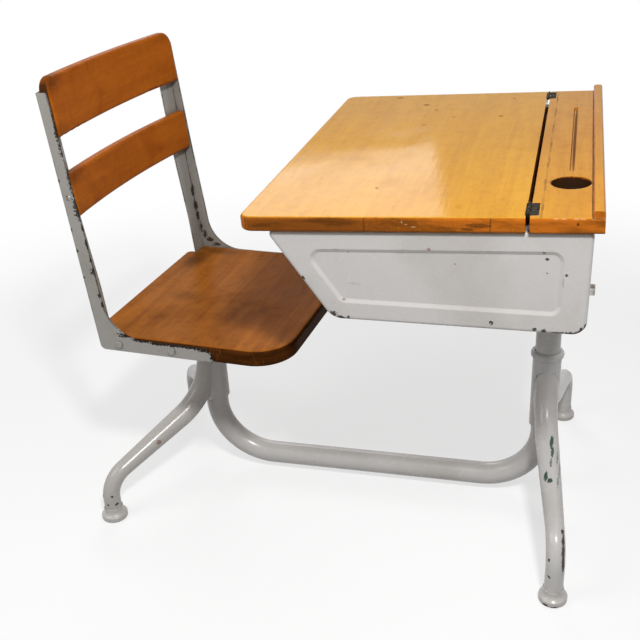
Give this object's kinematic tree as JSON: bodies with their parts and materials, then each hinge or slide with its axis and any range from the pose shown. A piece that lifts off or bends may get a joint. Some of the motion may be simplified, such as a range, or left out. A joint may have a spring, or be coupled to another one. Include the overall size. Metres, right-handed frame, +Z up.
{
  "type": "school desk",
  "caption": "Tubular pedestal school desk with a lift-lid book box, an ink well hole and an attached swivel seat with a slatted back.",
  "frame": {"origin": "centre of the overall box, on the floor", "axes": "+X from the seat towards the desk, the way the sitter faces; +Y to the sitter's left; +Z up"},
  "size_m": [0.7734, 0.61, 0.7274],
  "materials": {
    "frame_paint": "worn satin",
    "top_wood": "worn varnish",
    "seat_wood": "worn varnish",
    "bright_steel": "dull",
    "bearing_brass": "dull"
  },
  "bodies": {
    "base": {"base_tube": "frame_paint", "desk_socket": "frame_paint", "desk_lock_screw": "bright_steel", "desk_leg_left": "frame_paint", "desk_leg_right": "frame_paint", "desk_foot_left": "frame_paint", "desk_foot_right": "frame_paint", "seat_socket": "frame_paint", "seat_lock_screw": "bright_steel", "seat_leg_left": "frame_paint", "seat_leg_right": "frame_paint", "seat_foot_left": "frame_paint", "seat_foot_right": "frame_paint"},
    "desk": {"desk_post": "frame_paint", "box_bracket": "frame_paint", "bracket_bolts": "bright_steel", "bracket_nuts": "bright_steel", "rear_bolts": "frame_paint", "rear_nuts": "bright_steel", "top_rail": "top_wood", "rear_ledge": "top_wood", "rail_screws": "bright_steel", "hinge_screws": "bright_steel", "side_panel_left": "frame_paint", "side_panel_right": "frame_paint", "box_front": "frame_paint", "box_bottom": "frame_paint", "box_back": "frame_paint", "hinge_leaf_left": "bright_steel", "hinge_pin_left": "bright_steel", "hinge_leaf_right": "bright_steel", "hinge_pin_right": "bright_steel"},
    "lid": {"lid_board": "top_wood", "lid_leaf_screws": "bright_steel", "lid_leaf_left": "bright_steel", "lid_leaf_right": "bright_steel"},
    "seat_stem": {"seat_post": "frame_paint", "thrust_washer": "bearing_brass"},
    "seat": {"seat_hub": "frame_paint", "seat_spider": "frame_paint", "spider_screws": "bright_steel", "swivel_stop_screw": "bright_steel", "seat_board": "seat_wood", "frame_bolts": "frame_paint", "slat_screws": "bright_steel", "slat_rivets": "frame_paint", "back_slat_lower": "seat_wood", "back_slat_upper": "seat_wood", "side_frame_left": "frame_paint", "side_frame_right": "frame_paint"}
  },
  "joints": [
    {"name": "desk_height", "type": "slide", "parent": "base", "child": "desk", "axis": [0, 0, 1], "range_m": [-0.03, 0.04]},
    {"name": "lid_hinge", "type": "hinge", "parent": "desk", "child": "lid", "pos_m": [0.29997, 0, 0.61011], "axis": [0, 1, 0], "range_deg": [0, 100]},
    {"name": "seat_height", "type": "slide", "parent": "base", "child": "seat_stem", "axis": [0, 0, 1], "range_m": [-0.008, 0.03]},
    {"name": "seat_swivel", "type": "hinge", "parent": "seat_stem", "child": "seat", "pos_m": [-0.23652, 0, 0.343], "axis": [0, 0, 1], "range_deg": [-40.5, 49.5]}
  ]
}
